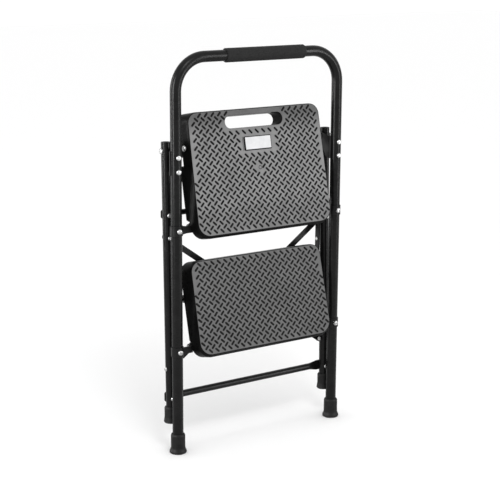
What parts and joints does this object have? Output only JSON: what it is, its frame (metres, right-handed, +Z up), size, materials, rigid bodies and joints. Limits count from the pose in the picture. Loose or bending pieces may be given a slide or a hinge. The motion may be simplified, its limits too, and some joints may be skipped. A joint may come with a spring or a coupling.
{
  "type": "folding step stool",
  "caption": "Folding step stool with plastic treads on a steel tube frame, a padded top handle bar, and rear legs and steps that swing together, stored folded.",
  "frame": {"origin": "centre of the folded stool's footprint, on the floor", "axes": "+Z up; -Y faces the user who climbs it; +X to that user's right; the front legs are vertical"},
  "size_m": [0.4844, 0.1054, 0.9273],
  "materials": {
    "black_tube": "gloss",
    "black_hardware": "gloss",
    "grip_foam": "matte",
    "foot_rubber": "satin",
    "pan_plastic": "satin",
    "tread_mat": "satin, textured",
    "plated_steel": "bright zinc",
    "label": "satin"
  },
  "bodies": {
    "front_frame": {"front_tube": "black_tube", "hand_grip": "grip_foam", "front_foot_left": "foot_rubber", "front_foot_right": "foot_rubber", "pivot_bracket_left": "black_hardware", "pivot_bracket_right": "black_hardware", "hinge_bracket_upper_left": "black_hardware", "hinge_bracket_upper_right": "black_hardware", "hinge_bracket_lower_left": "black_hardware", "hinge_bracket_lower_right": "black_hardware", "bracket_rivets": "plated_steel", "hinge_bolts": "plated_steel", "hinge_nuts": "plated_steel", "hinge_pins": "plated_steel", "pivot_bolts": "plated_steel"},
    "rear_frame": {"rear_leg_left": "black_tube", "rear_leg_right": "black_tube", "rear_foot_left": "foot_rubber", "rear_foot_right": "foot_rubber", "crossbar_upper": "black_hardware", "crossbar_lower": "black_hardware", "crossbar_rivets": "plated_steel", "brace_bar_front": "black_hardware", "brace_bar_rear": "black_hardware", "brace_rivets": "plated_steel", "brace_center_rivet": "plated_steel"},
    "upper_step": {"upper_step_rail_left": "black_tube", "upper_step_rail_right": "black_tube", "upper_step_cross_tube": "black_tube", "upper_tread_pan": "pan_plastic", "upper_tread_mat": "tread_mat", "upper_hinge_lug_left": "black_hardware", "upper_hinge_lug_right": "black_hardware", "upper_link_lug_left": "black_hardware", "upper_link_lug_right": "black_hardware", "stop_plate_left": "black_hardware", "stop_plate_right": "black_hardware", "stop_bolts": "plated_steel", "upper_tread_screws": "plated_steel", "upper_link_pins": "plated_steel", "label_plate": "label"},
    "lower_step": {"lower_step_frame": "black_tube", "lower_tread_pan": "pan_plastic", "lower_tread_mat": "tread_mat", "lower_hinge_lug_left": "black_hardware", "lower_hinge_lug_right": "black_hardware", "lower_link_lug_left": "black_hardware", "lower_link_lug_right": "black_hardware", "lower_tread_screws": "plated_steel", "lower_link_pins": "plated_steel"},
    "links": {"link_bar_left": "black_hardware", "link_bar_right": "black_hardware", "link_rivets": "plated_steel"}
  },
  "joints": [
    {"name": "rear_frame_swing", "type": "hinge", "parent": "front_frame", "child": "rear_frame", "pos_m": [0, 0.03668, 0.702], "axis": [1, 0, 0], "range_deg": [0, 40]},
    {"name": "upper_step_fold", "type": "hinge", "parent": "front_frame", "child": "upper_step", "pos_m": [0, 0.00218, 0.5273], "axis": [1, 0, 0], "range_deg": [-52.8, 0]},
    {"name": "lower_step_fold", "type": "hinge", "parent": "front_frame", "child": "lower_step", "pos_m": [0, 0.00218, 0.245], "axis": [1, 0, 0], "range_deg": [-50.9, 0]},
    {"name": "link_swing", "type": "hinge", "parent": "upper_step", "child": "links", "pos_m": [0, 0.02808, 0.63577], "axis": [1, 0, 0], "range_deg": [0, 52.3]}
  ],
  "couplings": [
    {"joint": "upper_step_fold", "follows": "rear_frame_swing", "ratio": -1.317},
    {"joint": "lower_step_fold", "follows": "rear_frame_swing", "ratio": -1.2695},
    {"joint": "link_swing", "follows": "rear_frame_swing", "ratio": 1.3046}
  ]
}
